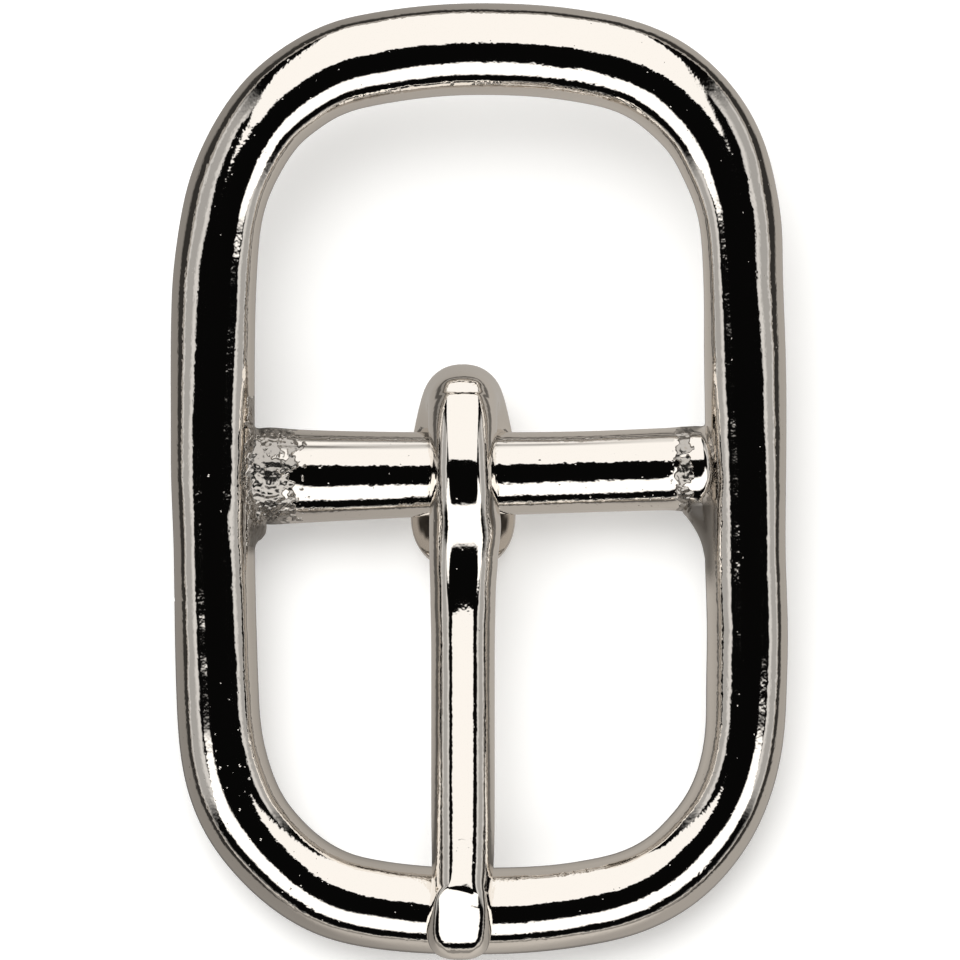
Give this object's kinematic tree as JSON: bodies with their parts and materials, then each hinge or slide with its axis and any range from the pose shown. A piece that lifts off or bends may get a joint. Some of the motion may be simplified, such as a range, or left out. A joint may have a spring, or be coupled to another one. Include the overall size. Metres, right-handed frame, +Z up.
{
  "type": "bridle buckle",
  "caption": "Small bridle buckle: an oval ring of round wire with a centre bar soldered across it and a wire tongue that turns on the bar. Polished nickel finish.",
  "frame": {"origin": "middle of the centre bar's axis", "axes": "+X along the bar, +Y towards the end of the ring that the tongue doesn't reach, +Z up out of the buckle's front; the buckle lies as on a table, leaning about 6.5 degrees about X"},
  "size_m": [0.022, 0.0342, 0.0065],
  "materials": {
    "frame_nickel": "polished nickel plate on steel wire",
    "tongue_nickel": "polished nickel plate on steel wire"
  },
  "bodies": {
    "frame": {"buckle_frame": "frame_nickel"},
    "tongue": {"tongue": "tongue_nickel"}
  },
  "joints": [
    {"name": "tongue_turn", "type": "hinge", "parent": "frame", "child": "tongue", "pos_m": [0, 0, 0], "axis": [-1, 0, 0], "range_deg": [0, 152]}
  ]
}
